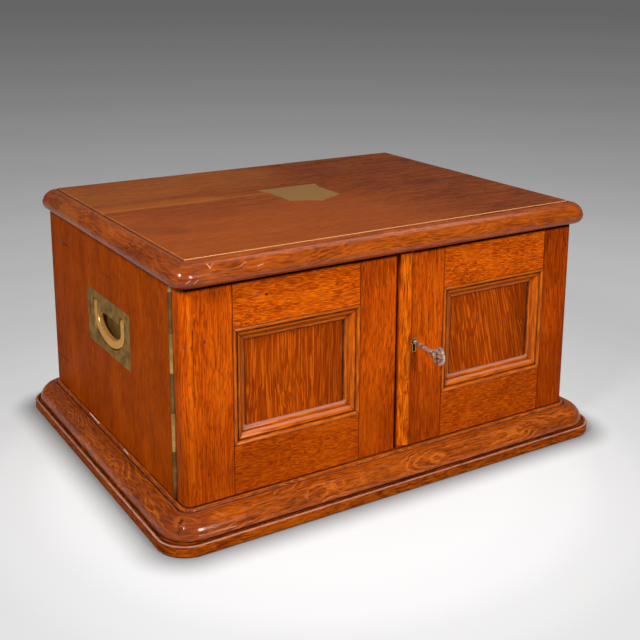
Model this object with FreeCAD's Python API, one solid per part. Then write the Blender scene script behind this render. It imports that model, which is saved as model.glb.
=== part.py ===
import FreeCAD, Part
import math
import os

# Cutlery canteen: an oak case with a fixed moulded top, a moulded plinth and two panelled doors
# that close over three fitted drawers. Millimetres: X to the right, Y to the back, Z up. The
# origin is the centre of the plinth's footprint, on the surface that the case stands on.
# Joints: each door turns on its strip hinge, each drawer slides forwards, each handle bail swings
# out on its two pins, the key turns the lock bolt, and a small bolt holds the left door.

# Case
case_width = 475.0
case_depth = 366.0
plinth_height = 33.2
door_zone_height = 213.8
side_thickness = 17.0
bottom_thickness = 9.0
top_lining_thickness = 8.0
back_thickness = 9.0

# Top: a board of two pieces, raised a little above the moulding that is mitred round it; its
# insets are from the case's outer faces
top_thickness = 24.3
top_seam_y = 20.0
top_board_side_inset = 6.5
top_board_front_inset = 3.8
top_board_back_inset = 12.2

# Top edge moulding, as distances out from the board's edge and heights above its own underside;
# the shoulder and the underside are the middles of its two curves, as parts of their spans
edge_moulding_width = 17.5
edge_moulding_height = 22.7
edge_quirk_width = 1.4
edge_quirk_depth = 1.6
edge_nose_height = 10.0
edge_underside_width = 9.5
edge_shoulder_out = 0.62
edge_shoulder_up = 0.77
edge_under_out = 0.76
edge_under_up = 0.32

# Plinth: a rounded moulding with a small bead, on a wider flat strip
plinth_inward_width = 30.0
moulding_overhang = 25.0
moulding_corner_inset = 8.0
bead_radius = 2.1
quirk_width = 1.0
quirk_depth = 2.0
moulding_lip_height = 2.4
moulding_shoulder_out = 0.74
moulding_shoulder_up = 0.67
strip_height = 11.6
strip_overhang = 29.8
strip_corner_inset = 2.5
strip_top_round = 1.2
strip_bottom_round = 3.0
base_board_thickness = 8.0
glue_block_size = 18.0

# Doors
door_thickness = 21.0
door_to_case_gap = 0.6
door_foot_gap = 1.3
door_head_gap = 2.2
meeting_gap = 2.9
meeting_gap_centre = -0.95
door_corner_round = 9.0
top_rail_width = 44.8
bottom_rail_width = 49.4
left_hinge_stile_width = 50.9
left_meeting_stile_width = 43.9
right_hinge_stile_width = 41.7
right_lock_stile_width = 57.0
panel_thickness = 7.0
panel_recess = 7.8
panel_tongue = 5.0
panel_fit = 0.15
panel_moulding_width = 15.0
panel_moulding_proud = 1.2
panel_bead_width = 3.6
panel_bead_rise = 0.4
panel_bead_drop = 1.0
panel_quirk_drop = 1.4
panel_step_rise = 0.9
panel_quirk_across = 0.08
panel_step_across = 0.14
panel_hollow_middle = (0.42, 0.66)
panel_hollow_end = (0.55, 0.42)
panel_foot_middle = (0.70, 0.25)
panel_foot_end = (0.92, 0.21)
panel_lip_rise = 0.19
meeting_bead_width = 14.6
meeting_bead_proud = 4.0
meeting_bead_bevel = 1.6
meeting_bead_end_gap = 1.2
meeting_bead_foot_slant = 3.0

# Strip hinges: the pin's axis is on the case's outer face, between the door and the side
hinge_barrel_radius = 2.7
hinge_pin_radius = 1.2
hinge_running_gap = 0.05
hinge_barrel_clearance = 0.4
hinge_leaf_thickness = 1.2
hinge_leaf_width = 14.0
hinge_end_gap = 0.6
hinge_first_knuckle = 6.0
hinge_knuckle_length = 38.8
hinge_knuckle_gap = 0.3
hinge_screw_count = 5
hinge_screw_edge = 1.6

# Screws: countersunk and slotted
screw_head_radius = 2.4
screw_head_depth = 1.1
screw_shank_radius = 1.1
screw_length = 8.0
screw_slot_width = 0.6
screw_slot_depth = 0.5

# Flush handles
handle_plate_width = 121.0
handle_plate_height = 60.0
handle_plate_thickness = 2.2
handle_centre_y = 3.0
handle_centre_z = 154.5
handle_fit = 0.15
cup_half_width = 45.0
cup_top_z = 12.0
cup_bottom_z = -23.0
cup_shoulder_z = 6.0
cup_depth = 12.0
cup_wall = 1.6
arm_pocket_width = 13.0
arm_pocket_top_z = 21.0
bail_side_gap = 1.0
bail_width = 10.0
bail_thickness = 6.4
bail_face_inset = 0.6
bail_pin_drop = 5.4
bail_pin_radius = 1.5
bail_pin_gap = 0.06
handle_screw_inset_y = 7.0
handle_screw_inset_z = 7.0

# Shield let into the top, half outline from the back edge to the point at the front
shield_thickness = 1.5
shield_ear_width = 39.0
shield_half_height = 41.0
shield_ear_return = 16.0
shield_waist_width = 33.0
shield_hip_drop = 64.0
shield_point_width = 13.0
shield_point_rise = 10.0

# Keyhole, lock and key; heights are from the floor
keyhole_from_meeting = 20.5
keyhole_z = 148.0
keyhole_radius = 2.9
keyhole_slot_half_width = 1.5
keyhole_slot_drop = 10.5
keyhole_wood_gap = 0.2
escutcheon_wall = 0.9
escutcheon_depth = 4.0
lock_depth = 10.0
lock_width = 46.0
lock_below_key = 13.0
lock_above_key = 24.0
lock_wall = 1.2
lock_fit = 0.1
bolt_above_key = 15.5
bolt_height = 8.0
bolt_thickness = 4.0
bolt_length = 34.0
bolt_gap = 0.3
bolt_throw = 6.0
strike_plate_height = 30.0
strike_plate_width = 12.0
strike_plate_thickness = 1.2
strike_extra_depth = 3.0
key_shank_radius = 2.2
key_droop = 3.3
key_visible_length = 33.5
key_bow_length = 16.0
key_bow_height = 18.6
key_bow_thickness = 2.6
key_bow_rim = 2.1
key_bow_bar = 1.7
key_bit_drop = 9.5
key_bit_thickness = 2.0
key_end_gap = 1.2
key_collar_radius = 3.0
key_collar_length = 1.6
key_collar_spacing = 3.4
key_bow_bar_spacing = 0.45

# Bolt that holds the left door shut, on its inner face
door_bolt_from_meeting = 22.0
door_bolt_width = 7.0
door_bolt_thickness = 3.0
door_bolt_length = 46.0
door_bolt_gap = 0.25
door_bolt_throw = 7.0
door_bolt_head_gap = 1.0
door_bolt_plate_width = 15.0
door_bolt_plate_height = 38.0
door_bolt_plate_thickness = 1.2
door_bolt_strap_height = 5.0
door_bolt_strap_wall = 1.2
door_bolt_knob_gap = 1.3
door_bolt_knob_radius = 2.2
door_bolt_knob_height = 3.0

# Drawers
drawer_count = 3
drawer_recess = 28.0
drawer_side_gap = 1.2
drawer_height_gap = 1.5
drawer_back_gap = 4.0
drawer_front_thickness = 12.0
drawer_side_thickness = 8.0
drawer_bottom_thickness = 4.0
drawer_wall_drop = 10.0
runner_height = 8.0
runner_width = 12.0
runner_gap = 0.3
runner_front_gap = 14.0
insert_board_thickness = 2.0
insert_rest_height = 15.0
insert_rest_thickness = 9.0
insert_rest_inset = 62.0
insert_notch_radius = 5.5
insert_notch_pitch = 22.0
insert_gap = 0.5
pull_offset = 118.0
pull_neck_radius = 3.5
pull_length = 15.0
pull_base_radius = 5.5
pull_base_length = 1.8
pull_neck_start = 3.0
pull_neck_end = 5.25
pull_bulge = (8.0, 9.3)
pull_rim = (5.0, 14.1)

# Places worked out from the sizes
half_width = case_width / 2
case_front = -case_depth / 2
case_back = case_depth / 2
door_back = case_front + door_thickness
carcase_front = door_back + door_to_case_gap
hinge_y = (door_back + carcase_front) / 2
case_low = plinth_height
case_high = plinth_height + door_zone_height
inner_half_width = half_width - side_thickness
inner_low = case_low + bottom_thickness
inner_high = case_high - top_lining_thickness
back_panel_front = case_back - back_thickness
door_low = case_low + door_foot_gap
door_high = case_high - door_head_gap
left_door_edge = meeting_gap_centre - meeting_gap / 2
right_door_edge = meeting_gap_centre + meeting_gap / 2
keyhole_x = right_door_edge + keyhole_from_meeting
lock_front = door_back - lock_depth
top_board_back = case_back - top_board_back_inset
top_board_front = case_front + top_board_front_inset
top_board_half_width = half_width - top_board_side_inset
handle_reach = cup_depth + cup_wall

MADE = {}


def box(x0, x1, y0, y1, z0, z1):
    low = FreeCAD.Vector(min(x0, x1), min(y0, y1), min(z0, z1))
    return Part.makeBox(abs(x1 - x0), abs(y1 - y0), abs(z1 - z0), low)


def cylinder(radius, start, end):
    start = FreeCAD.Vector(*start)
    way = FreeCAD.Vector(*end) - start
    return Part.makeCylinder(radius, way.Length, start, way)


def path_face(start, steps, place):
    """A flat face from a start point and steps: a point is a line, a pair of points an arc."""
    edges = []
    here = start
    for step in steps:
        if isinstance(step[0], tuple):
            middle, end = step
            edges.append(Part.Arc(place(*here), place(*middle), place(*end)).toShape())
        else:
            end = step
            edges.append(Part.LineSegment(place(*here), place(*end)).toShape())
        here = end
    if (place(*here) - place(*start)).Length > 1e-6:
        edges.append(Part.LineSegment(place(*here), place(*start)).toShape())
    return Part.Face(Part.Wire(edges))


def plan_prism(start, steps, z0, z1):
    face = path_face(start, steps, lambda x, y: FreeCAD.Vector(x, y, z0))
    return face.extrude(FreeCAD.Vector(0, 0, z1 - z0))


def side_prism(start, steps, x0, x1):
    """A solid drawn in Y and Z and drawn out along X."""
    face = path_face(start, steps, lambda y, z: FreeCAD.Vector(x0, y, z))
    return face.extrude(FreeCAD.Vector(x1 - x0, 0, 0))


def front_prism(start, steps, y0, y1):
    """A solid drawn in X and Z and drawn out along Y."""
    face = path_face(start, steps, lambda x, z: FreeCAD.Vector(x, y0, z))
    return face.extrude(FreeCAD.Vector(0, y1 - y0, 0))


def mirrored(shape):
    return shape.mirror(FreeCAD.Vector(0, 0, 0), FreeCAD.Vector(1, 0, 0))


def keep(name, *solids):
    MADE[name] = list(solids)


def arc_middle(centre, start, end):
    """The point halfway along the shorter arc from start to end about centre."""
    radius = math.dist(centre, start)
    across = (start[0] + end[0] - 2 * centre[0], start[1] + end[1] - 2 * centre[1])
    length = math.hypot(*across)
    return (centre[0] + across[0] * radius / length, centre[1] + across[1] * radius / length)


def rounded_side(start, steps, half_length, inward):
    """One side of a mitred frame with rounded outer corners, lying along X with its outside at -Y.

    The section is drawn in distance out from the line of the corner centres and in height. It
    is turned through 45 degrees at each end, and what lies inside that line is cut to a mitre.
    """
    section = path_face(start, steps, lambda out, z: FreeCAD.Vector(-half_length, -out, z))
    bar = section.extrude(FreeCAD.Vector(2 * half_length, 0, 0))
    low = section.BoundBox.ZMin - 1
    high = section.BoundBox.ZMax + 1
    reach = section.BoundBox.YLength + abs(section.BoundBox.YMin)
    short = half_length - inward
    plan = [(half_length, -reach), (half_length, 0), (short, inward), (-short, inward), (-half_length, 0)]
    if inward > 0:
        bar = bar.common(plan_prism((-half_length, -reach), plan, low, high))
    outer = section.common(box(-half_length - 1, -half_length + 1, -reach, 0, low, high)).Faces[0]
    left_end = outer.revolve(FreeCAD.Vector(-half_length, 0, 0), FreeCAD.Vector(0, 0, 1), -45)
    right_end = outer.translated(FreeCAD.Vector(2 * half_length, 0, 0)).revolve(
        FreeCAD.Vector(half_length, 0, 0), FreeCAD.Vector(0, 0, 1), 45)
    return bar.fuse([left_end, right_end]).removeSplitter().Solids[0]


def rounded_frame(start, steps, half_x, half_y, inward, centre_y=0.0):
    """Four mitred sides round a rectangle of corner centres: front, back, left and right."""
    sides = []
    for angle, along, away in ((0, half_x, half_y), (180, half_x, half_y),
                               (-90, half_y, half_x), (90, half_y, half_x)):
        side = rounded_side(start, steps, along, inward)
        side.translate(FreeCAD.Vector(0, -away, 0))
        side.rotate(FreeCAD.Vector(0, 0, 0), FreeCAD.Vector(0, 0, 1), angle)
        side.translate(FreeCAD.Vector(0, centre_y, 0))
        sides.append(side)
    return sides


def screw_blank():
    """A countersunk screw without its slot, its head at the origin and its shank along +Z."""
    head = Part.makeCone(screw_head_radius, screw_shank_radius, screw_head_depth)
    shank = Part.makeCylinder(screw_shank_radius, screw_length - screw_head_depth,
                              FreeCAD.Vector(0, 0, screw_head_depth))
    return head.fuse(shank).removeSplitter()


def placed(shape, tip, way):
    turn = FreeCAD.Rotation(FreeCAD.Vector(0, 0, 1), FreeCAD.Vector(*way))
    shape.Placement = FreeCAD.Placement(FreeCAD.Vector(*tip), turn)
    return shape


def screw(tip, way):
    """A slotted screw whose head lies flush at tip, with its shank along way."""
    reach = screw_head_radius + 1
    slot = box(-reach, reach, -screw_slot_width / 2, screw_slot_width / 2, -1, screw_slot_depth)
    return placed(screw_blank().cut(slot), tip, way)


def screw_hole(tip, way):
    return placed(screw_blank(), tip, way)


def knuckle_spans():
    """Heights of the hinge knuckles from the top down: the case's and the door's in turn."""
    top = door_high - hinge_end_gap
    foot = door_low + hinge_end_gap
    spans = []
    high = top
    low = top - hinge_first_knuckle
    while low - hinge_knuckle_length / 2 > foot:
        spans.append((low, high))
        high = low
        low = high - hinge_knuckle_length
    spans.append((foot, high))
    return spans


def hinge_screw_points(inset_x):
    low = door_low + hinge_end_gap
    step = (door_high - hinge_end_gap - low) / hinge_screw_count
    return [(inset_x, low + step * (i + 0.5)) for i in range(hinge_screw_count)]


def hinge_leaf(own, y0, y1):
    """One left-hand leaf with its knuckles; own is 0 for the case's leaf and 1 for the door's."""
    spans = knuckle_spans()
    low = spans[-1][0]
    high = spans[0][1]
    plate = box(-half_width, -half_width + hinge_leaf_width, y0, y1, low, high)
    for index, (foot, head) in enumerate(spans):
        if index % 2 == own:
            start = (-half_width, hinge_y, foot + hinge_knuckle_gap / 2)
            end = (-half_width, hinge_y, head - hinge_knuckle_gap / 2)
            plate = plate.fuse(cylinder(hinge_barrel_radius, start, end))
        else:
            start = (-half_width, hinge_y, foot - hinge_knuckle_gap / 2)
            end = (-half_width, hinge_y, head + hinge_knuckle_gap / 2)
            plate = plate.cut(cylinder(hinge_barrel_radius + hinge_running_gap * 4, start, end))
    bore = cylinder(hinge_pin_radius + hinge_running_gap, (-half_width, hinge_y, low - 1),
                    (-half_width, hinge_y, high + 1))
    return plate.cut(bore).removeSplitter()


def hinges():
    """Both strip hinges; returns the tools that cut their seats in the wood."""
    low = door_low + hinge_end_gap
    high = door_high - hinge_end_gap
    case_leaf = hinge_leaf(0, carcase_front, carcase_front + hinge_leaf_thickness)
    door_leaf = hinge_leaf(1, door_back - hinge_leaf_thickness, door_back)
    pin = cylinder(hinge_pin_radius, (-half_width, hinge_y, low), (-half_width, hinge_y, high))
    inset = -half_width + hinge_leaf_width - screw_head_radius - hinge_screw_edge
    case_screws = []
    door_screws = []
    case_holes = []
    door_holes = []
    for x, z in hinge_screw_points(inset):
        case_screws.append(screw((x, carcase_front, z), (0, 1, 0)))
        case_holes.append(screw_hole((x, carcase_front, z), (0, 1, 0)))
        door_screws.append(screw((x, door_back, z), (0, -1, 0)))
        door_holes.append(screw_hole((x, door_back, z), (0, -1, 0)))
    barrel_room = cylinder(hinge_barrel_radius + hinge_barrel_clearance,
                           (-half_width, hinge_y, case_low - 1), (-half_width, hinge_y, case_high + 1))
    case_seat = box(-half_width - 1, -half_width + hinge_leaf_width, carcase_front - 1,
                    carcase_front + hinge_leaf_thickness, low, high)
    door_seat = box(-half_width - 1, -half_width + hinge_leaf_width,
                    door_back - hinge_leaf_thickness, door_back + 1, low, high)
    case_leaf = case_leaf.cut(case_holes)
    door_leaf = door_leaf.cut(door_holes)
    keep("left_hinge_case_leaf", case_leaf)
    keep("left_hinge_door_leaf", door_leaf)
    keep("left_hinge_pin", pin)
    keep("left_door_screws", *door_screws)
    keep("right_hinge_case_leaf", mirrored(case_leaf))
    keep("right_hinge_door_leaf", mirrored(door_leaf))
    keep("right_hinge_pin", mirrored(pin))
    keep("right_door_screws", *[mirrored(one) for one in door_screws])
    return case_screws, [barrel_room, case_seat] + case_holes, [barrel_room, door_seat] + door_holes


def cup_outline(grow):
    """Start and steps of the cup's outline in Y and Z about the handle's centre."""
    half = cup_half_width + grow
    top = cup_top_z + grow
    arm = arm_pocket_width + grow
    pocket = arm_pocket_top_z + grow
    shoulder = cup_shoulder_z
    bottom = cup_bottom_z - grow
    depth = shoulder - bottom
    corner = (half * math.cos(math.radians(45)), shoulder - depth * math.sin(math.radians(45)))
    middle = (half * math.cos(math.radians(22.5)), shoulder - depth * math.sin(math.radians(22.5)))
    low = (half * math.cos(math.radians(67.5)), shoulder - depth * math.sin(math.radians(67.5)))
    inner = cup_half_width - arm
    start = (half, shoulder)
    steps = [((middle[0], middle[1]), corner), ((low[0], low[1]), (0, bottom)),
             ((-low[0], low[1]), (-corner[0], corner[1])),
             ((-middle[0], middle[1]), (-half, shoulder)),
             (-half, pocket), (-inner, pocket), (-inner, top), (inner, top), (inner, pocket),
             (half, pocket)]
    return start, steps


def moved(points, dy, dz):
    """The same start and steps, moved in their plane."""
    start, steps = points
    out = []
    for step in steps:
        if isinstance(step[0], tuple):
            out.append(tuple((p[0] + dy, p[1] + dz) for p in step))
        else:
            out.append((step[0] + dy, step[1] + dz))
    return (start[0] + dy, start[1] + dz), out


def handle_prism(outline, depth0, depth1):
    """A prism in the left side's frame; depths are measured inwards from its outer face."""
    start, steps = moved(outline, handle_centre_y, handle_centre_z)
    return side_prism(start, steps, -half_width + depth0, -half_width + depth1)


def bail_solid():
    """The D-shaped grip: two arms with eyes at the top and a curved band between them."""
    outer = cup_half_width - bail_side_gap
    inner = outer - bail_width
    shoulder = cup_shoulder_z
    drop = shoulder - cup_bottom_z - bail_side_gap
    eye_z = arm_pocket_top_z - bail_pin_drop
    near = bail_face_inset
    far = near + bail_thickness

    def ellipse(half, depth, angle):
        turn = math.radians(angle)
        return (half * math.cos(turn), shoulder - depth * math.sin(turn))

    steps = []
    for a, b in ((22.5, 45), (67.5, 90), (112.5, 135), (157.5, 180)):
        steps.append((ellipse(outer, drop, a), ellipse(outer, drop, b)))
    steps += [(-outer, eye_z), (-inner, eye_z), (-inner, shoulder)]
    for a, b in ((157.5, 135), (112.5, 90), (67.5, 45), (22.5, 0)):
        steps.append((ellipse(inner, drop - bail_width, a), ellipse(inner, drop - bail_width, b)))
    steps += [(inner, eye_z), (outer, eye_z)]
    band = handle_prism(((outer, shoulder), steps), near, far)
    rounding = [edge for edge in band.Edges if edge_on_face(edge, near) or edge_on_face(edge, far)]
    band = soften(band, rounding, bail_thickness * 0.3)
    axis_x = -half_width + (near + far) / 2
    axis_z = handle_centre_z + eye_z
    for sign in (-1, 1):
        start = (axis_x, handle_centre_y + sign * inner, axis_z)
        end = (axis_x, handle_centre_y + sign * outer, axis_z)
        band = band.fuse(cylinder(bail_thickness / 2, start, end))
    hole = cylinder(bail_pin_radius + bail_pin_gap,
                    (axis_x, handle_centre_y - half_width, axis_z),
                    (axis_x, handle_centre_y + half_width, axis_z))
    return band.cut(hole).removeSplitter(), axis_x, axis_z


def edge_on_face(edge, depth):
    """Whether an edge lies along the grip's front or back face and below its eyes."""
    x = -half_width + depth
    limits = edge.BoundBox
    flat = abs(limits.XMin - x) < 1e-4 and abs(limits.XMax - x) < 1e-4
    return flat and limits.ZMax < handle_centre_z + cup_shoulder_z + 0.01


def soften(shape, edges, radius):
    if not edges:
        return shape
    return shape.makeFillet(radius, edges)


def handles():
    """Both flush handles; returns the cutters for the left side and its screws."""
    half_y = handle_plate_width / 2
    half_z = handle_plate_height / 2
    plate_outline = ((-half_y, -half_z), [(half_y, -half_z), (half_y, half_z), (-half_y, half_z)])
    plate = handle_prism(plate_outline, 0, handle_plate_thickness)
    cup = handle_prism(cup_outline(cup_wall), 0, handle_reach)
    hollow = handle_prism(cup_outline(0), -1, cup_depth)
    plate = plate.fuse(cup).cut(hollow)
    bail, axis_x, axis_z = bail_solid()
    pins = []
    pin_out = cup_half_width + cup_wall
    pin_in = cup_half_width - arm_pocket_width
    for sign in (-1, 1):
        start = (axis_x, handle_centre_y + sign * pin_in, axis_z)
        end = (axis_x, handle_centre_y + sign * pin_out, axis_z)
        pins.append(cylinder(bail_pin_radius, start, end))
    screws = []
    holes = []
    for sign_y in (-1, 1):
        for sign_z in (-1, 1):
            tip = (-half_width, handle_centre_y + sign_y * (half_y - handle_screw_inset_y),
                   handle_centre_z + sign_z * (half_z - handle_screw_inset_z))
            screws.append(screw(tip, (1, 0, 0)))
            holes.append(screw_hole(tip, (1, 0, 0)))
    plate = plate.cut(pins + holes).removeSplitter()
    keep("left_handle_plate", plate)
    keep("right_handle_plate", mirrored(plate))
    keep("left_handle_bail", bail)
    keep("right_handle_bail", mirrored(bail))
    keep("handle_pins", *pins, *[mirrored(pin) for pin in pins])
    wide = half_y + handle_fit
    tall = half_z + handle_fit
    seat_outline = ((-wide, -tall), [(wide, -tall), (wide, tall), (-wide, tall)])
    seat = handle_prism(seat_outline, -1, handle_plate_thickness)
    cup_seat = handle_prism(cup_outline(cup_wall + handle_fit), -1, handle_reach + handle_fit)
    return screws, [seat, cup_seat] + holes


def shield_outline():
    """The shield's outline about its centre: back edge straight, ears, waist, hips and point."""
    back = shield_half_height
    front = -shield_half_height
    hip = back - shield_hip_drop
    right = [(shield_ear_width, back), (shield_waist_width, back - shield_ear_return),
             (shield_waist_width, hip), (shield_point_width, front + shield_point_rise)]
    left = [(-x, y) for x, y in reversed(right)]
    return right + [(0, front)] + left


def top():
    """Two top boards, the moulding mitred round them and the shield let into them."""
    high = case_high + top_thickness
    front_board = box(-top_board_half_width, top_board_half_width, top_board_front, top_seam_y,
                      case_high, high)
    back_board = box(-top_board_half_width, top_board_half_width, top_seam_y, top_board_back,
                     case_high, high)
    outline = shield_outline()
    shield = plan_prism(outline[0], outline[1:], high - shield_thickness, high)
    keep("top_boards", front_board.cut(shield), back_board.cut(shield))
    keep("shield_plate", shield)
    width = edge_moulding_width
    tall = case_high + edge_moulding_height
    nose = case_high + edge_nose_height
    upper = tall - nose
    shoulder = (edge_quirk_width + (width - edge_quirk_width) * edge_shoulder_out,
                nose + upper * edge_shoulder_up)
    under = (edge_underside_width + (width - edge_underside_width) * edge_under_out,
             case_high + edge_nose_height * edge_under_up)
    steps = [(edge_underside_width, case_high), (under, (width, nose)),
             (shoulder, (edge_quirk_width, tall)), (edge_quirk_width, tall - edge_quirk_depth),
             (0, tall - edge_quirk_depth)]
    half_y = (top_board_back - top_board_front) / 2
    centre_y = (top_board_back + top_board_front) / 2
    keep("top_edge_moulding", *rounded_frame((0, case_high), steps, top_board_half_width, half_y,
                                             0, centre_y))


def plinth():
    """The rounded moulding and the strip below it, the base board and the glue blocks."""
    inset = moulding_corner_inset
    inner = inset - plinth_inward_width
    bead_out = inset + 2 * bead_radius
    bead_z = plinth_height - bead_radius
    quirk_out = bead_out + quirk_width
    quirk_z = bead_z - quirk_depth / 2
    crown_z = plinth_height - quirk_depth
    out = inset + moulding_overhang
    lip = strip_height + moulding_lip_height
    sweep_x = out - quirk_out
    sweep_z = crown_z - lip
    shoulder = (quirk_out + sweep_x * moulding_shoulder_out, lip + sweep_z * moulding_shoulder_up)
    bead_side = (bead_out - bead_radius * (1 - math.sqrt(0.5)),
                 bead_z + bead_radius * math.sqrt(0.5))
    steps = [(out - moulding_lip_height / 2, strip_height), (out, lip),
             (shoulder, (quirk_out, crown_z)), (bead_out + quirk_width / 2, quirk_z),
             (bead_out, bead_z), (bead_side, (bead_out - bead_radius, plinth_height)),
             (inner, plinth_height)]
    keep("plinth_moulding", *rounded_frame((inner, strip_height), steps, half_width - inset,
                                           case_back - inset, -inner))
    inset = strip_corner_inset
    inner = inset - plinth_inward_width
    out = inset + strip_overhang
    low = strip_bottom_round
    high = strip_height - strip_top_round
    low_side = arc_middle((out - low, low), (out - low, 0), (out, low))
    top_out = out - strip_top_round
    high_side = arc_middle((top_out, high), (out, high), (top_out, strip_height))
    steps = [(out - low, 0), (low_side, (out, low)), (out, high),
             (high_side, (top_out, strip_height)), (inner, strip_height)]
    keep("plinth_strips", *rounded_frame((inner, 0), steps, half_width - inset,
                                         case_back - inset, -inner))
    hole_x = half_width - plinth_inward_width
    hole_y = case_back - plinth_inward_width
    keep("base_board", box(-hole_x, hole_x, -hole_y, hole_y, 0, base_board_thickness))
    blocks = []
    size = glue_block_size
    for sx in (-1, 1):
        for sy in (-1, 1):
            corner = (sx * hole_x, sy * hole_y)
            points = [(corner[0] - sx * size, corner[1]), (corner[0], corner[1] - sy * size)]
            blocks.append(plan_prism(corner, points, base_board_thickness, plinth_height))
    keep("glue_blocks", *blocks)


def case(side_tools):
    """Sides, bottom, top lining and back; side_tools cut the left side and its mirror image."""
    left = box(-half_width, -inner_half_width, carcase_front, case_back, case_low, case_high)
    left = left.cut(side_tools)
    keep("left_side", left)
    keep("right_side", mirrored(left))
    keep("case_bottom", box(-inner_half_width, inner_half_width, carcase_front, back_panel_front,
                            case_low, inner_low))
    lining = box(-inner_half_width, inner_half_width, carcase_front, back_panel_front,
                 inner_high, case_high)
    bolt_x = left_door_edge - door_bolt_from_meeting
    wide = door_bolt_width / 2 + door_bolt_gap
    notch_top = inner_high + door_bolt_throw
    keeper = box(bolt_x - wide, bolt_x + wide, carcase_front - 1,
                 door_back + door_bolt_thickness + 2 * door_bolt_gap, inner_high - 1, notch_top)
    keep("top_lining", lining.cut(keeper))
    keep("back_panel", box(-inner_half_width, inner_half_width, back_panel_front, case_back,
                           case_low, case_high))


def drawer_pitch():
    return (inner_high - inner_low) / drawer_count


def pull(x, front, z):
    """A turned knob that stands out towards the front."""
    steps = [(pull_base_radius, 0), (pull_base_radius, pull_base_length),
             (pull_neck_radius, pull_neck_start), (pull_neck_radius, pull_neck_end),
             (pull_bulge, pull_rim), (0, pull_length)]
    face = path_face((0, 0), steps, lambda r, out: FreeCAD.Vector(x + r, front - out, z))
    return face.revolve(FreeCAD.Vector(x, front, z), FreeCAD.Vector(0, 1, 0), 360)


def drawer(name, floor):
    """One drawer between its runners, from the height of its pitch's foot."""
    front = door_back + drawer_recess
    low = floor + drawer_height_gap / 2
    high = floor + drawer_pitch() - drawer_height_gap / 2
    half = inner_half_width - drawer_side_gap
    inside = front + drawer_front_thickness
    back = back_panel_front - drawer_back_gap
    body_low = floor + runner_height + runner_gap
    body_high = high - drawer_wall_drop
    side = drawer_side_thickness
    keep(name + "_front", box(-half, half, front, inside, low, high))
    walls = [box(-half, -half + side, inside, back, body_low, body_high),
             box(half - side, half, inside, back, body_low, body_high),
             box(-half + side, half - side, back - side, back, body_low, body_high),
             box(-half + side, half - side, inside, back - side, body_low,
                 body_low + drawer_bottom_thickness)]
    keep(name + "_box", *walls)
    fit = insert_gap
    x0 = -half + side + fit
    y0 = inside + fit
    y1 = back - side - fit
    base = body_low + drawer_bottom_thickness
    board = box(x0, -x0, y0, y1, base, base + insert_board_thickness)
    parts = [board]
    rest_low = base + insert_board_thickness
    rest_high = rest_low + insert_rest_height
    count = int((-2 * x0) // insert_notch_pitch)
    first = -insert_notch_pitch * (count - 1) / 2
    for y in (y0 + insert_rest_inset, y1 - insert_rest_inset):
        y_low = y - insert_rest_thickness / 2
        rest = box(x0, -x0, y_low, y_low + insert_rest_thickness, rest_low, rest_high)
        notches = [cylinder(insert_notch_radius, (first + i * insert_notch_pitch, y_low - 1, rest_high),
                            (first + i * insert_notch_pitch, y_low + insert_rest_thickness + 1, rest_high))
                   for i in range(count)]
        parts.append(rest.cut(notches))
    keep(name + "_insert", *parts)
    middle = (low + high) / 2
    keep(name + "_pulls", pull(-pull_offset, front, middle), pull(pull_offset, front, middle))


def drawers():
    names = ["bottom_drawer", "middle_drawer", "top_drawer"]
    names += ["extra_drawer_%d" % i for i in range(4, drawer_count + 1)]
    runners = []
    for index in range(drawer_count):
        floor = inner_low + index * drawer_pitch()
        drawer(names[index], floor)
        y0 = door_back + drawer_recess + runner_front_gap
        for sign in (-1, 1):
            runners.append(box(sign * inner_half_width, sign * (inner_half_width - runner_width),
                               y0, back_panel_front, floor, floor + runner_height))
    keep("drawer_runners", *runners)


def keyhole(grow, y0, y1):
    """The keyhole's outline, grown all round and drawn out along Y."""
    radius = keyhole_radius + grow
    half = keyhole_slot_half_width + grow
    foot = keyhole_z - keyhole_slot_drop - grow
    slot = box(keyhole_x - half, keyhole_x + half, y0, y1, foot, keyhole_z)
    ring = cylinder(radius, (keyhole_x, y0, keyhole_z), (keyhole_x, y1, keyhole_z))
    return ring.fuse(slot).removeSplitter()


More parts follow.
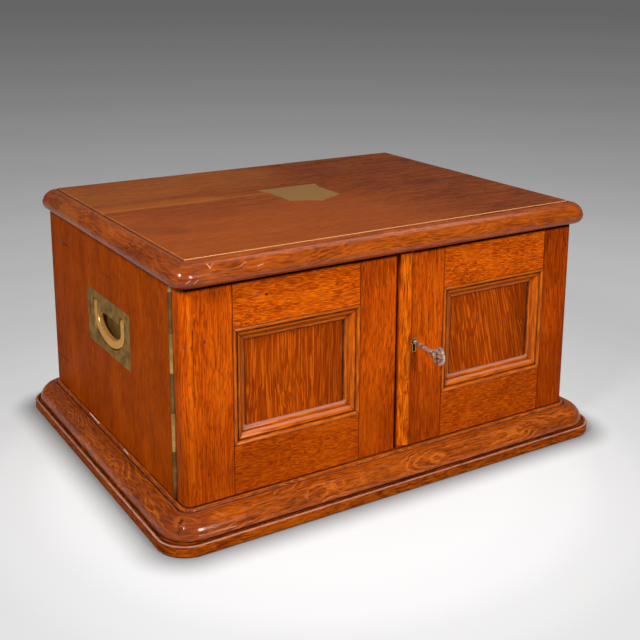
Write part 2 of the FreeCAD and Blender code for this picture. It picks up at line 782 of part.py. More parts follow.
def lock():
    """Lock case, bolt, escutcheon and strike plate; returns cutters for each door."""
    x0 = right_door_edge
    x1 = right_door_edge + lock_width
    z0 = keyhole_z - lock_below_key
    z1 = keyhole_z + lock_above_key
    bolt_z = keyhole_z + bolt_above_key
    bolt_y = door_back - lock_depth / 2
    case_box = box(x0, x1, lock_front, door_back, z0, z1)
    cavity = box(x0 + lock_wall, x1 - lock_wall, lock_front + lock_wall, door_back - lock_wall,
                 z0 + lock_wall, z1 - lock_wall)
    half_z = bolt_height / 2
    half_y = bolt_thickness / 2
    mouth = box(x0 - 1, x0 + lock_wall + 1, bolt_y - half_y - bolt_gap, bolt_y + half_y + bolt_gap,
                bolt_z - half_z - bolt_gap, bolt_z + half_z + bolt_gap)
    way_in = keyhole(0, lock_front - 1, lock_front + lock_wall + 1)
    keep("lock_case", case_box.cut([cavity, mouth, way_in]))
    bolt = box(x0, x0 + bolt_length, bolt_y - half_y, bolt_y + half_y, bolt_z - half_z, bolt_z + half_z)
    keep("lock_bolt", bolt)
    thread = keyhole(escutcheon_wall, case_front, case_front + escutcheon_depth)
    keep("escutcheon", thread.cut(keyhole(0, case_front - 1, case_front + escutcheon_depth + 1)))
    fit = lock_fit
    right_tools = [box(x0 - 1, x1 + fit, lock_front - fit, door_back + 1, z0 - fit, z1 + fit),
                   keyhole(escutcheon_wall, case_front - 1, case_front + escutcheon_depth),
                   keyhole(keyhole_wood_gap, case_front - 1, lock_front + 1)]
    edge = left_door_edge
    plate = box(edge - strike_plate_thickness, edge, bolt_y - strike_plate_width / 2,
                bolt_y + strike_plate_width / 2, bolt_z - strike_plate_height / 2,
                bolt_z + strike_plate_height / 2)
    gap = bolt_gap * 2
    throat = box(edge - bolt_throw - strike_extra_depth, edge + 1, bolt_y - half_y - gap,
                 bolt_y + half_y + gap, bolt_z - half_z - gap, bolt_z + half_z + gap)
    keep("strike_plate", plate.cut(throat))
    return [plate, throat], right_tools


def key():
    """The key in its rest place: bow upright, bit hanging down inside the lock.

    It fits its hole loosely, so it droops about the middle of the hole by its bow's weight.
    """
    end = door_back - lock_wall - key_end_gap
    bow_near = case_front - key_visible_length
    shank = cylinder(key_shank_radius, (keyhole_x, end, keyhole_z),
                     (keyhole_x, bow_near - key_bow_rim / 2, keyhole_z))
    bit_front = lock_front + lock_wall + key_end_gap
    half = key_bit_thickness / 2
    bit = box(keyhole_x - half, keyhole_x + half, bit_front, end, keyhole_z - key_bit_drop, keyhole_z)
    collars = []
    for collar_y in (bow_near, bow_near + key_collar_spacing):
        collars.append(cylinder(key_collar_radius, (keyhole_x, collar_y + key_collar_length, keyhole_z),
                                (keyhole_x, collar_y, keyhole_z)))
    along = key_bow_length / 2
    up = key_bow_height / 2
    centre_y = bow_near - along

    def disc(rim):
        major = max(along, up) - rim
        minor = min(along, up) - rim
        lying = along >= up
        first = FreeCAD.Vector(0, major, 0) if lying else FreeCAD.Vector(0, 0, major)
        second = FreeCAD.Vector(0, 0, minor) if lying else FreeCAD.Vector(0, minor, 0)
        centre = FreeCAD.Vector(keyhole_x - key_bow_thickness / 2, centre_y, keyhole_z)
        curve = Part.Ellipse(centre + first, centre + second, centre)
        return Part.Face(Part.Wire([curve.toShape()])).extrude(FreeCAD.Vector(key_bow_thickness, 0, 0))

    rim = disc(0)
    ring = rim.cut(disc(key_bow_rim))
    bar_half = key_bow_bar / 2
    thin = key_bow_thickness / 2
    bar_y = centre_y + along * key_bow_bar_spacing
    bars = [box(keyhole_x - thin, keyhole_x + thin, bar_y - bar_half, bar_y + bar_half,
                keyhole_z - up, keyhole_z + up)]
    for step in (-1, 0, 1):
        z = keyhole_z + step * key_bow_bar_spacing * up
        bars.append(box(keyhole_x - thin, keyhole_x + thin, centre_y - along, bar_y,
                        z - bar_half, z + bar_half))
    bow = ring.fuse([bar.common(rim) for bar in bars])
    solid = shank.fuse(collars + [bit, bow]).removeSplitter()
    pivot = FreeCAD.Vector(keyhole_x, (case_front + lock_front) / 2, keyhole_z)
    solid.rotate(pivot, FreeCAD.Vector(1, 0, 0), key_droop)
    keep("key", solid)


def door_bolt():
    """The left door's bolt with its plate and straps; returns the cutter for the stile."""
    x = left_door_edge - door_bolt_from_meeting
    half = door_bolt_width / 2
    gap = door_bolt_gap
    high = inner_high - door_bolt_head_gap
    low = high - door_bolt_length
    near = door_back + gap
    far = near + door_bolt_thickness
    bar = box(x - half, x + half, near, far, low, high)
    knob_z = (low + high) / 2
    knob = cylinder(door_bolt_knob_radius, (x, far, knob_z), (x, far + door_bolt_knob_height, knob_z))
    keep("left_door_bolt", bar.fuse(knob).removeSplitter())
    plate_half = door_bolt_plate_width / 2
    plate_low = knob_z - door_bolt_plate_height / 2
    seat = box(x - plate_half, x + plate_half, door_back - door_bolt_plate_thickness, door_back,
               plate_low, plate_low + door_bolt_plate_height)
    plate = seat.copy()
    wall = door_bolt_strap_wall
    strap_offset = (door_bolt_throw + door_bolt_knob_radius + door_bolt_knob_gap
                    + door_bolt_strap_height / 2)
    for sign in (-1, 1):
        z = knob_z + sign * strap_offset
        strap = box(x - half - gap - wall, x + half + gap + wall, door_back, far + gap + wall,
                    z - door_bolt_strap_height / 2, z + door_bolt_strap_height / 2)
        plate = plate.fuse(strap)
    way = box(x - half - gap, x + half + gap, door_back, far + gap, plate_low,
              plate_low + door_bolt_plate_height)
    keep("left_door_bolt_plate", plate.cut(way).removeSplitter())
    return [seat]


def panel_side(length, moulding_back):
    """One side of a panel moulding, along X from 0 to length, with the opening towards +Z."""
    tall = panel_recess + panel_moulding_proud
    width = panel_moulding_width
    bead = panel_bead_width
    bead_foot = tall - panel_bead_drop
    quirk_foot = bead_foot - panel_quirk_drop

    def point(across, rise):
        return (bead + (width - bead) * across, tall * rise)

    steps = [(0, bead_foot), ((bead / 2, tall + panel_bead_rise), (bead, bead_foot)),
             (point(panel_quirk_across, 0)[0], quirk_foot),
             (point(panel_step_across, 0)[0], quirk_foot + panel_step_rise),
             (point(*panel_hollow_middle), point(*panel_hollow_end)),
             (point(*panel_foot_middle), point(*panel_foot_end)),
             (width, tall * panel_lip_rise), (width, 0)]
    face = path_face((0, 0), steps,
                     lambda inwards, rise: FreeCAD.Vector(0, moulding_back - rise, inwards))
    bar = face.extrude(FreeCAD.Vector(length, 0, 0))
    plan = [(length, 0), (length - width, width), (width, width)]
    mitre = front_prism((0, 0), plan, moulding_back - 2 * tall, moulding_back + 1)
    return bar.common(mitre)


def panel_mouldings(x0, x1, z0, z1):
    """Four mitred mouldings that stand on the panel and fill the edge of its opening."""
    back = case_front + panel_recess
    centre = FreeCAD.Vector((x0 + x1) / 2, 0, (z0 + z1) / 2)
    pieces = []
    for angle, length, away in ((0, x1 - x0, z1 - z0), (90, z1 - z0, x1 - x0),
                                (180, x1 - x0, z1 - z0), (270, z1 - z0, x1 - x0)):
        piece = panel_side(length, back)
        piece.translate(FreeCAD.Vector(-length / 2, 0, -away / 2))
        piece.rotate(FreeCAD.Vector(0, 0, 0), FreeCAD.Vector(0, 1, 0), angle)
        piece.translate(centre)
        pieces.append(piece)
    return pieces


def door(side, hinge_stile, meeting_stile, edge_x, hinge_tools, more_tools):
    """One panelled door: side is -1 for the left and 1 for the right."""
    name = "left_door_" if side < 0 else "right_door_"
    outer = side * half_width
    opening_outer = side * (half_width - hinge_stile)
    opening_inner = edge_x + side * meeting_stile
    low_opening = door_low + bottom_rail_width
    high_opening = door_high - top_rail_width
    round_size = door_corner_round
    panel_front = case_front + panel_recess
    tongue = panel_tongue
    x_low = min(opening_outer, opening_inner)
    x_high = max(opening_outer, opening_inner)
    panel = box(x_low - tongue, x_high + tongue, panel_front, panel_front + panel_thickness,
                low_opening - tongue, high_opening + tongue)
    fit = panel_fit
    groove = box(x_low - tongue - fit, x_high + tongue + fit, panel_front,
                 panel_front + panel_thickness + fit, low_opening - tongue - fit,
                 high_opening + tongue + fit)
    centre = (outer - side * round_size, case_front + round_size)
    start = (outer - side * round_size, case_front)
    end = (outer, case_front + round_size)
    plan = [(arc_middle(centre, start, end), end), (outer, door_back), (opening_outer, door_back),
            (opening_outer, case_front)]
    hinge_piece = plan_prism(start, plan, door_low, door_high)
    meeting_piece = box(opening_inner, edge_x, case_front, door_back, door_low, door_high)
    top_piece = box(x_low, x_high, case_front, door_back, high_opening, door_high)
    foot_piece = box(x_low, x_high, case_front, door_back, door_low, low_opening)
    keep(name + "hinge_stile", hinge_piece.cut([groove] + hinge_tools))
    keep(name + ("lock_stile" if side > 0 else "meeting_stile"),
         meeting_piece.cut([groove] + more_tools))
    keep(name + "top_rail", top_piece.cut(groove))
    keep(name + "bottom_rail", foot_piece.cut(groove))
    keep(name + "panel", panel)
    keep(name + "panel_moulding", *panel_mouldings(x_low, x_high, low_opening, high_opening))


def meeting_bead():
    """The bevelled strip on the front of the right door's meeting edge."""
    x0 = right_door_edge
    x1 = x0 + meeting_bead_width
    front = case_front - meeting_bead_proud
    bevel = meeting_bead_bevel
    low = door_low + meeting_bead_end_gap
    high = door_high - meeting_bead_end_gap
    plan = [(x1, case_front), (x1, front + bevel), (x1 - bevel, front), (x0 + bevel, front),
            (x0, front + bevel)]
    strip = plan_prism((x0, case_front), plan, low, high)
    slant = meeting_bead_foot_slant
    wedge = front_prism((x0 - 1, low - 1), [(x1 + 1, low - 1), (x1 + 1, low), (x0 - 1, low + slant)],
                        front - 1, case_front + 1)
    keep("right_door_meeting_bead", strip.cut(wedge))


def build():
    hinge_screws, side_seats, door_seats = hinges()
    handle_screws, handle_seats = handles()
    left_screws = hinge_screws + handle_screws
    keep("case_screws", *left_screws, *[mirrored(one) for one in left_screws])
    case(side_seats + handle_seats)
    top()
    plinth()
    drawers()
    left_tools, right_tools = lock()
    bolt_tools = door_bolt()
    door(-1, left_hinge_stile_width, left_meeting_stile_width, left_door_edge, door_seats,
         left_tools + bolt_tools)
    door(1, right_hinge_stile_width, right_lock_stile_width, right_door_edge,
         [mirrored(tool) for tool in door_seats], right_tools)
    meeting_bead()
    key()


def write():
    os.makedirs("parts", exist_ok=True)
    for name, solids in MADE.items():
        pieces = [solid for piece in solids for solid in piece.Solids]
        shape = pieces[0] if len(pieces) == 1 else Part.makeCompound(pieces)
        shape.exportStep("parts/%s.step" % name)
        print(name, len(pieces), shape.isValid(), round(shape.Volume / 1000, 2))


build()
write()
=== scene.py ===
import math

import bpy
from mathutils import Matrix, Vector


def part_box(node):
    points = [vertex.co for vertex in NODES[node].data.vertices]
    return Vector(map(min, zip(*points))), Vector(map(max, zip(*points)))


# A cutlery canteen in French-polished oak: a case with a fixed moulded top, a moulded plinth, two
# panelled doors on brass strip hinges, flush brass handles and a steel key in the right door.
# X is to the right, Y to the back and Z up, in metres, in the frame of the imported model. Sizes of
# patterns and marks are written in millimetres.

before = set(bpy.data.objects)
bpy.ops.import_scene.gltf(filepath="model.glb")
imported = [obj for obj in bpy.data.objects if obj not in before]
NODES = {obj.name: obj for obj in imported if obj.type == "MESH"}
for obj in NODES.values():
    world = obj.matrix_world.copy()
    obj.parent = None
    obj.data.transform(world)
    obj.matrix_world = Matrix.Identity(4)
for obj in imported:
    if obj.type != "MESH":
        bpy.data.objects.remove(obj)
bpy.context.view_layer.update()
MM = 0.001

# Camera: where the photograph was taken from, with its roll and its frame's drop below the axis
CAMERA_PLACE = (-0.5939, -0.9909, 0.5243)
CAMERA_TARGET = (0.02019, 0.0, 0.25186)
CAMERA_ROLL = math.radians(0.221)
CAMERA_LENS = 58.69
CAMERA_SENSOR = 36.0
CAMERA_SHIFT = -0.175

# Softboxes: degrees round the case from straight in front of it, degrees up, width in metres, watts
SOFTBOX_DISTANCE = 1.55
SOFTBOXES = (("left_softbox", -60, 36, 0.30, 13.8), ("front_softbox", 1, 25, 0.36, 13.4),
             ("right_softbox", 100, 60, 0.8, 4.0))
STUDIO_FILL = 0.18
STUDIO_GREY = "#656565"

# The floor: grey paper, and the backdrop's own brightness by distance from its pale pool, which
# fades near the plinth's footprint
FLOOR_RADIUS = 30.0
FLOOR_PAPER = "#8c8c8c"
FLOOR_POOL = (-0.05, -0.11, 0.0)
FLOOR_REACH = 12.0
FLOOR_GLOW = ((0.20, 0.70), (0.26, 0.66), (0.32, 0.56), (0.38, 0.48), (0.44, 0.45), (0.50, 0.425), (0.56, 0.395),
              (0.65, 0.375), (0.76, 0.36), (0.90, 0.335), (1.12, 0.303), (1.41, 0.26), (1.83, 0.225), (2.52, 0.19),
              (3.24, 0.16), (4.4, 0.133), (6.2, 0.111), (8.9, 0.092), (12.0, 0.082))
FOOTPRINT_HALF = (0.235, 0.1805, 0.0)
FOOTPRINT_ROUND = 0.0323
SHADE_START = -0.012
SHADE_END = 0.036

# Boards of polished oak, as the eye sees each one: its pale figure, its ground, its dark figure
# and the colour of its rays or rings
TOP_OAK = {"light": "#a2500e", "mid": "#8f3d0a", "dark": "#5c2206", "fleck": "#bb6428"}
SIDE_OAK = {"light": "#ca5800", "mid": "#a84300", "dark": "#7e3000", "fleck": "#bd5606"}
STILE_OAK = {"light": "#e46a0c", "mid": "#bc4806", "dark": "#641e04", "fleck": "#e87410"}
LOW_STILE_OAK = {"light": "#d05a08", "mid": "#a43c04", "dark": "#5c1c04", "fleck": "#d8680e"}
RAIL_OAK = {"light": "#f0740c", "mid": "#bc4a06", "dark": "#6c2404", "fleck": "#ee7c1a"}
PANEL_OAK = {"light": "#b04806", "mid": "#973804", "dark": "#6a2404", "fleck": "#d8620e"}
MOULD_OAK = {"light": "#be5a0c", "mid": "#994208", "dark": "#562006", "fleck": "#dc7020"}
PANEL_MOULD_OAK = {"light": "#e2780c", "mid": "#c05604", "dark": "#803404", "fleck": "#e08418"}
BEAD_OAK = {"light": "#ee780a", "mid": "#cc5606", "dark": "#7e3004", "fleck": "#f09430"}
BACK_OAK = {"light": "#aa5c22", "mid": "#8e4818", "dark": "#5e2e10", "fleck": "#ba7238"}
INNER_OAK = {"light": "#c8955a", "mid": "#ac7a46", "dark": "#724a28", "fleck": "#d2ac78"}
# Dark brown for dirt in mitre joints and quirks, and for painted shade in the groove under the plinth's torus
DIRT_AND_SHADE = "#34180c"
WAX_DUST = "#6c4c4c"


def linear(code):
    """An sRGB hex colour as linear RGBA."""
    parts = [int(code[i:i + 2], 16) / 255 for i in (1, 3, 5)]
    return tuple(c / 12.92 if c <= 0.04045 else ((c + 0.055) / 1.055) ** 2.4 for c in parts) + (1.0,)


def add(tree, kind, *values, out=0, **settings):
    """Adds a node with its settings and gives its output out, or the node where out is None.

    Values fill its inputs in order, and those in a dict fill them by name or number. A socket is
    linked, and anything else is set on the input.
    """
    node = tree.nodes.new("ShaderNode" + kind)
    for name, value in settings.items():
        setattr(node, name, value)
    named = values[-1] if values and isinstance(values[-1], dict) else {}
    plain = values[:-1] if named else values
    for key, value in list(enumerate(plain)) + list(named.items()):
        if isinstance(value, bpy.types.NodeSocket):
            tree.links.new(value, node.inputs[key])
        else:
            node.inputs[key].default_value = value
    return node if out is None else node.outputs[out]


def new_group(name, **inputs):
    """A shader node group with its named inputs; gives its tree and the sockets that bring them."""
    tree = bpy.data.node_groups.new(name, "ShaderNodeTree")
    for label, value in inputs.items():
        kind = "NodeSocketFloat"
        if isinstance(value, tuple):
            kind = "NodeSocketColor" if len(value) == 4 else "NodeSocketVector"
        socket = tree.interface.new_socket(label.replace("_", " "), in_out="INPUT", socket_type=kind)
        socket.default_value = value
    return tree, tree.nodes.new("NodeGroupInput").outputs


def end_group(tree, **results):
    """Gives a group its outputs; a name that ends in Color or Place says what kind each is."""
    out = tree.nodes.new("NodeGroupOutput")
    for label, value in results.items():
        kind = {"Color": "NodeSocketColor", "Place": "NodeSocketVector"}.get(label, "NodeSocketFloat")
        tree.interface.new_socket(label, in_out="OUTPUT", socket_type=kind)
        tree.links.new(value, out.inputs[label])
    return tree


def stroke_group():
    """A mark along a straight line: 1 on the line, fading out at its width."""
    tree, given = new_group("stroke", Position=(0.0, 0.0, 0.0), Start=(0.0, 0.0, 0.0), End=(0.0, 0.0, 0.0),
                            Width=0.001)
    way = add(tree, "VectorMath", given["End"], given["Start"], operation="SUBTRACT")
    arm = add(tree, "VectorMath", given["Position"], given["Start"], operation="SUBTRACT")
    reach = add(tree, "VectorMath", arm, way, operation="DOT_PRODUCT", out="Value")
    size = add(tree, "VectorMath", way, way, operation="DOT_PRODUCT", out="Value")
    share = add(tree, "Math", reach, size, operation="DIVIDE", use_clamp=True)
    foot = add(tree, "VectorMath", way, {"Scale": share}, operation="SCALE")
    away = add(tree, "VectorMath", arm, foot, operation="DISTANCE", out="Value")
    share = add(tree, "Math", away, given["Width"], operation="DIVIDE")
    return end_group(tree, Mark=add(tree, "MapRange", share, 1.0, 0.3, interpolation_type="SMOOTHSTEP"))


def mitre_group():
    """Coordinates on a mitred frame: along each side, out from its rectangle, and up."""
    tree, given = new_group("mitred_sides", Position=(0.0, 0.0, 0.0), Centre=(0.0, 0.0, 0.0), Half=(0.1, 0.1, 0.0))
    arm = add(tree, "VectorMath", given["Position"], given["Centre"], operation="SUBTRACT")
    size = add(tree, "VectorMath", arm, operation="ABSOLUTE")
    beyond = add(tree, "VectorMath", size, given["Half"], operation="SUBTRACT")
    across = add(tree, "SeparateXYZ", arm, out=None).outputs
    over = add(tree, "SeparateXYZ", beyond, out=None).outputs
    outer = add(tree, "VectorMath", beyond, (0, 0, 0), operation="MAXIMUM")
    outer = add(tree, "VectorMath", outer, (1, 1, 0), operation="MULTIPLY")
    outside = add(tree, "VectorMath", outer, operation="LENGTH", out="Value")
    inside = add(tree, "Math", over[0], over[1], operation="MAXIMUM")
    inside = add(tree, "Math", inside, 0.0, operation="MINIMUM")
    out = add(tree, "Math", outside, inside, operation="ADD")
    upright = add(tree, "Math", over[0], over[1], operation="GREATER_THAN")
    # Opposite sides are different lengths of wood, so each is moved along by its own distance
    turn = add(tree, "Mix", upright, {2: across[0], 3: across[1]}, data_type="FLOAT")
    side = add(tree, "Mix", upright, {2: across[1], 3: across[0]}, data_type="FLOAT")
    own = add(tree, "Math", side, operation="SIGN")
    own = add(tree, "Math", own, 0.9, upright, operation="MULTIPLY_ADD")
    along = add(tree, "Math", turn, own, operation="ADD")
    gap = add(tree, "Math", over[0], over[1], operation="SUBTRACT")
    gap = add(tree, "Math", gap, operation="ABSOLUTE")
    return end_group(tree, Place=add(tree, "CombineXYZ", along, out, across[2]), Out=out, Up=across[2], Corner=gap)


def grain_group():
    """Noise on a position in millimetres whose features are Along by Across millimetres.

    Step is 0 at Low and below, and 1 at High and above.
    """
    tree, given = new_group("grain", Position=(0.0, 0.0, 0.0), Along=10.0, Across=1.0, Shift=0.0, Detail=0.0,
                            Roughness=0.5, Low=0.4, High=0.6)
    size = add(tree, "CombineXYZ", given["Along"], given["Across"], given["Across"])
    place = add(tree, "VectorMath", given["Position"], size, operation="DIVIDE")
    shift = add(tree, "CombineXYZ", given["Shift"], given["Shift"], given["Shift"])
    place = add(tree, "VectorMath", place, shift, operation="ADD")
    noise = add(tree, "TexNoise", {"Vector": place, "Scale": 1.0, "Detail": given["Detail"],
                                   "Roughness": given["Roughness"]})
    step = add(tree, "MapRange", noise, given["Low"], given["High"], interpolation_type="SMOOTHSTEP")
    return end_group(tree, Noise=noise, Step=step)


def oak_group():
    """Oak's figure on coordinates in metres whose X runs along the grain.

    Streaks are its fine long lines, pores the short dark vessels that the polish fills, rays the
    pale wavy flecks of a quartered board, and rings the thin pale loops where the surface of a
    flat-sawn piece cuts the year rings. A real pore is 0.3 mm wide: it is drawn as 1 mm, because
    a finer one wouldn't show.
    """
    tree, given = new_group(
        "polished_oak", Position=(0.0, 0.0, 0.0), Light=(1.0, 1.0, 1.0, 1.0), Mid=(1.0, 1.0, 1.0, 1.0),
        Dark=(0.0, 0.0, 0.0, 1.0), Fleck=(1.0, 1.0, 1.0, 1.0), Streaks=0.7, Streak_length=9.0, Streak_width=1.4,
        Pores=0.6, Pore_length=7.0, Rays=0.0, Ray_length=18.0, Ray_width=1.5, Ripple=0.6, Ripple_length=16.0,
        Blotches=0.4, Rings=0.0, Ring_pitch=3.5, Pith_out=-30.0, Pith_up=-35.0, Ring_wander=9.0)
    position = add(tree, "VectorMath", given["Position"], {"Scale": 1000.0}, operation="SCALE")

    # The grain wanders across as it runs along, in short ripples and in one long sweep
    ripple = add(tree, "Group", {"Position": position, "Along": given["Ripple length"], "Across": 14.0,
                                 "Shift": 3.1}, node_tree=GRAIN)
    sweep = add(tree, "Group", {"Position": position, "Along": 120.0, "Across": 45.0, "Shift": 9.7}, node_tree=GRAIN)
    ripple = add(tree, "Math", ripple, 0.5, operation="SUBTRACT")
    ripple = add(tree, "Math", ripple, given["Ripple"], operation="MULTIPLY")
    sweep = add(tree, "Math", sweep, 0.5, operation="SUBTRACT")
    sweep = add(tree, "Math", sweep, 14.0, operation="MULTIPLY")
    wander = add(tree, "Math", ripple, 8.0, sweep, operation="MULTIPLY_ADD")
    wander = add(tree, "CombineXYZ", 0.0, wander, wander)
    waved = add(tree, "VectorMath", position, wander, operation="ADD")

    streak = add(tree, "Group", {"Position": waved, "Along": given["Streak length"], "Across": given["Streak width"],
                                 "Detail": 0.6, "Roughness": 0.6}, node_tree=GRAIN)
    broad = add(tree, "Group", {"Position": waved, "Along": 150.0, "Across": 7.0, "Shift": 5.3, "Detail": 1.0},
                node_tree=GRAIN)
    tone = add(tree, "Mix", 0.16, {2: streak, 3: broad}, data_type="FLOAT")
    pale = add(tree, "MapRange", tone, 0.48, 0.66, 0.0, given["Streaks"], interpolation_type="SMOOTHSTEP")
    deep = add(tree, "MapRange", tone, 0.50, 0.32, 0.0, given["Streaks"], interpolation_type="SMOOTHSTEP")
    base = add(tree, "Mix", pale, {6: given["Mid"], 7: given["Light"]}, data_type="RGBA", out=2)
    base = add(tree, "Mix", deep, {6: base, 7: given["Dark"]}, data_type="RGBA", out=2)
    blotch = add(tree, "Group", {"Position": waved, "Along": 85.0, "Across": 34.0, "Detail": 3.0, "Roughness": 0.55},
                 node_tree=GRAIN)
    dim = add(tree, "MapRange", blotch, 0.46, 0.70, 0.0, given["Blotches"], interpolation_type="SMOOTHSTEP")
    lit = add(tree, "MapRange", blotch, 0.48, 0.28, 0.0, given["Blotches"], interpolation_type="SMOOTHSTEP")
    base = add(tree, "Mix", dim, {6: base, 7: given["Dark"]}, data_type="RGBA", out=2)
    base = add(tree, "Mix", lit, {6: base, 7: given["Light"]}, data_type="RGBA", out=2)

    # Rings: the distance from a pith that lies outside the piece, drifting along its length
    pith = add(tree, "CombineXYZ", 0.0, given["Pith out"], given["Pith up"])
    reach = add(tree, "VectorMath", waved, pith, operation="SUBTRACT")
    reach = add(tree, "VectorMath", reach, (0.0, 1.0, 1.0), operation="MULTIPLY")
    radius = add(tree, "VectorMath", reach, operation="LENGTH", out="Value")
    drift = add(tree, "Group", {"Position": position, "Along": 46.0, "Across": 400.0, "Shift": 13.9, "Detail": 1.0},
                node_tree=GRAIN)
    radius = add(tree, "Math", drift, given["Ring wander"], radius, operation="MULTIPLY_ADD")
    jitter = add(tree, "Group", {"Position": position, "Along": 6.0, "Across": 3.0, "Shift": 1.7}, node_tree=GRAIN)
    radius = add(tree, "Math", jitter, 0.7, radius, operation="MULTIPLY_ADD")
    turn = add(tree, "Math", radius, given["Ring pitch"], operation="DIVIDE")
    phase = add(tree, "Math", turn, operation="FRACT")
    rise = add(tree, "MapRange", phase, 0.50, 0.78, interpolation_type="SMOOTHSTEP")
    fall = add(tree, "MapRange", phase, 1.0, 0.90, interpolation_type="SMOOTHSTEP")
    ring = add(tree, "Math", rise, fall, operation="MULTIPLY")
    patch = add(tree, "Group", {"Position": position, "Along": 48.0, "Across": 12.0, "Shift": 21.0, "Low": 0.44,
                                "High": 0.60}, node_tree=GRAIN, out="Step")
    ring = add(tree, "Math", ring, patch, operation="MULTIPLY")
    ring = add(tree, "Math", ring, given["Rings"], operation="MULTIPLY")
    base = add(tree, "Mix", ring, {6: base, 7: given["Fleck"]}, data_type="RGBA", out=2)

    ray = add(tree, "Group", {"Position": waved, "Along": given["Ray length"], "Across": given["Ray width"],
                              "Shift": 31.0, "Low": 0.53, "High": 0.66}, node_tree=GRAIN, out="Step")
    ray = add(tree, "Math", ray, given["Rays"], operation="MULTIPLY")
    base = add(tree, "Mix", ray, {6: base, 7: given["Fleck"]}, data_type="RGBA", out=2)
    pore = add(tree, "Group", {"Position": waved, "Along": given["Pore length"], "Across": 1.0, "Shift": 17.0,
                               "Low": 0.58, "High": 0.70}, node_tree=GRAIN, out="Step")
    pore = add(tree, "Math", pore, given["Pores"], operation="MULTIPLY")
    filled = add(tree, "Mix", 0.55, {6: given["Dark"], 7: linear("#2a0e04")}, data_type="RGBA", out=2)
    base = add(tree, "Mix", pore, {6: base, 7: filled}, data_type="RGBA", out=2)
    height = add(tree, "Math", pore, -2.0, streak, operation="MULTIPLY_ADD")
    return end_group(tree, Color=base, Height=height, Pore=pore)


GRAIN = grain_group()
STROKE = stroke_group()
MITRE = mitre_group()
OAK = oak_group()

# Turns that carry each grain direction onto X
GRAIN_TURNS = {"x": (0.0, 0.0, 0.0), "y": (0.0, 0.0, math.radians(-90)), "z": (0.0, math.radians(90), 0.0)}


def shader(name, **values):
    """A material with one Principled shader, whose plain values are set by input name."""
    material = bpy.data.materials.new(name)
    material.use_nodes = True
    tree = material.node_tree
    tree.nodes.clear()
    plain = {key.replace("_", " "): value for key, value in values.items()}
    surface = add(tree, "BsdfPrincipled", plain, out=None)
    add(tree, "OutputMaterial", surface.outputs[0], out=None)
    return material, tree, surface


def millimetres(point):
    return tuple(value * MM for value in point)


def marked(tree, colour, place, marks):
    """Lays marks over a colour: (start, end, width in mm, hex colour, strength)."""
    for start, end, width, code, strength in marks:
        mark = add(tree, "Group", {"Position": place, "Start": millimetres(start), "End": millimetres(end),
                                   "Width": width * MM}, node_tree=STROKE)
        mark = add(tree, "Math", mark, strength, operation="MULTIPLY")
        colour = add(tree, "Mix", mark, {6: colour, 7: linear(code)}, data_type="RGBA", out=2)
    return colour


